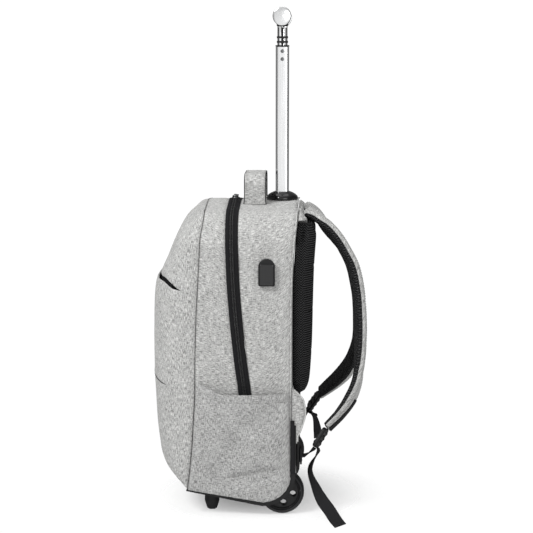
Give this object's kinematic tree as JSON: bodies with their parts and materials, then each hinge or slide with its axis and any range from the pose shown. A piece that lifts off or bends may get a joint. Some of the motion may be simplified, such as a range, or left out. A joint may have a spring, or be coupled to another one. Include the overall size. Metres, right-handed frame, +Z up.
{
  "type": "wheeled backpack",
  "caption": "Upright cloth backpack with padded shoulder straps, a telescopic pull handle, side pockets and wheels at its lower back edge.",
  "frame": {"origin": "centre of the part's bounding box at floor level, where the wheels and feet stand", "axes": "+Z up along the pull handle; +X across the bag, from the wearer's left to right; the front panel faces -Y and the back pad and shoulder straps face +Y"},
  "size_m": [0.382, 0.3514, 0.8149],
  "materials": {
    "grey_cloth": "heathered woven polyester, matt",
    "black_mesh": "ribbed air mesh, matt",
    "black_webbing": "woven webbing",
    "zip_tape": "zip tape with coil",
    "black_plastic": "fine-grained black",
    "gloss_plastic": "polished black",
    "tyre_rubber": "smooth dark grey",
    "foot_rubber": "matt black",
    "aluminium": "satin anodised",
    "dark_steel": "satin",
    "chrome": "bright"
  },
  "bodies": {
    "bag": {"front_upper_panel": "grey_cloth", "front_lower_panel": "grey_cloth", "gusset_front": "grey_cloth", "gusset_rear": "grey_cloth", "side_pocket_right": "grey_cloth", "side_pocket_left": "grey_cloth", "back_panel": "grey_cloth", "back_yoke": "grey_cloth", "wing_right": "grey_cloth", "wing_left": "grey_cloth", "strap_right": "grey_cloth", "strap_left": "grey_cloth", "carry_handle": "grey_cloth", "back_pad": "black_mesh", "strap_pad_right": "black_mesh", "strap_pad_left": "black_mesh", "pocket_binding_right": "black_webbing", "pocket_binding_left": "black_webbing", "strap_patch_right": "black_webbing", "strap_patch_left": "black_webbing", "lower_webbing_right": "black_webbing", "lower_webbing_left": "black_webbing", "tail_right": "black_webbing", "tail_left": "black_webbing", "webbing_anchor_right": "black_webbing", "webbing_anchor_left": "black_webbing", "front_zip_tape": "zip_tape", "zip_tape": "zip_tape", "zip_pull": "black_plastic", "base_tray": "black_plastic", "rear_rail_right": "black_plastic", "rear_rail_left": "black_plastic", "ladder_lock_right": "black_plastic", "ladder_lock_left": "black_plastic", "port_housing": "black_plastic", "handle_bezel": "gloss_plastic", "port_cover": "gloss_plastic", "foot_right": "foot_rubber", "foot_left": "foot_rubber", "zip_slider": "dark_steel", "axle_right": "dark_steel", "axle_left": "dark_steel", "guide_tube": "dark_steel"},
    "outer_stage": {"outer_tube": "aluminium", "collar": "black_plastic", "rivet_upper_right": "dark_steel", "rivet_lower_right": "dark_steel", "rivet_upper_left": "dark_steel", "rivet_lower_left": "dark_steel"},
    "inner_stage": {"inner_tube": "chrome", "neck_ring_lower": "black_plastic", "neck_ring_upper": "black_plastic", "grip": "black_plastic", "grip_cap_right": "aluminium", "grip_cap_left": "aluminium"},
    "button": {"release_button": "gloss_plastic"},
    "wheel_right": {"wheel_right": "black_plastic", "tyre_right": "tyre_rubber"},
    "wheel_left": {"wheel_left": "black_plastic", "tyre_left": "tyre_rubber"}
  },
  "joints": [
    {"name": "outer_slide", "type": "slide", "parent": "bag", "child": "outer_stage", "axis": [0, 0, 1], "range_m": [-0.213, 0]},
    {"name": "inner_slide", "type": "slide", "parent": "outer_stage", "child": "inner_stage", "axis": [0, 0, 1], "range_m": [0, 0.2]},
    {"name": "button_press", "type": "slide", "parent": "inner_stage", "child": "button", "axis": [0, 0, -1], "range_m": [0, 0.0025], "stiffness_N_per_m": 600, "springref_m": -0.001},
    {"name": "wheel_spin_right", "type": "hinge", "parent": "bag", "child": "wheel_right", "pos_m": [0.10681, 0.03895, 0.036], "axis": [1, 0, 0], "continuous": true},
    {"name": "wheel_spin_left", "type": "hinge", "parent": "bag", "child": "wheel_left", "pos_m": [-0.15219, 0.03895, 0.036], "axis": [1, 0, 0], "continuous": true}
  ]
}
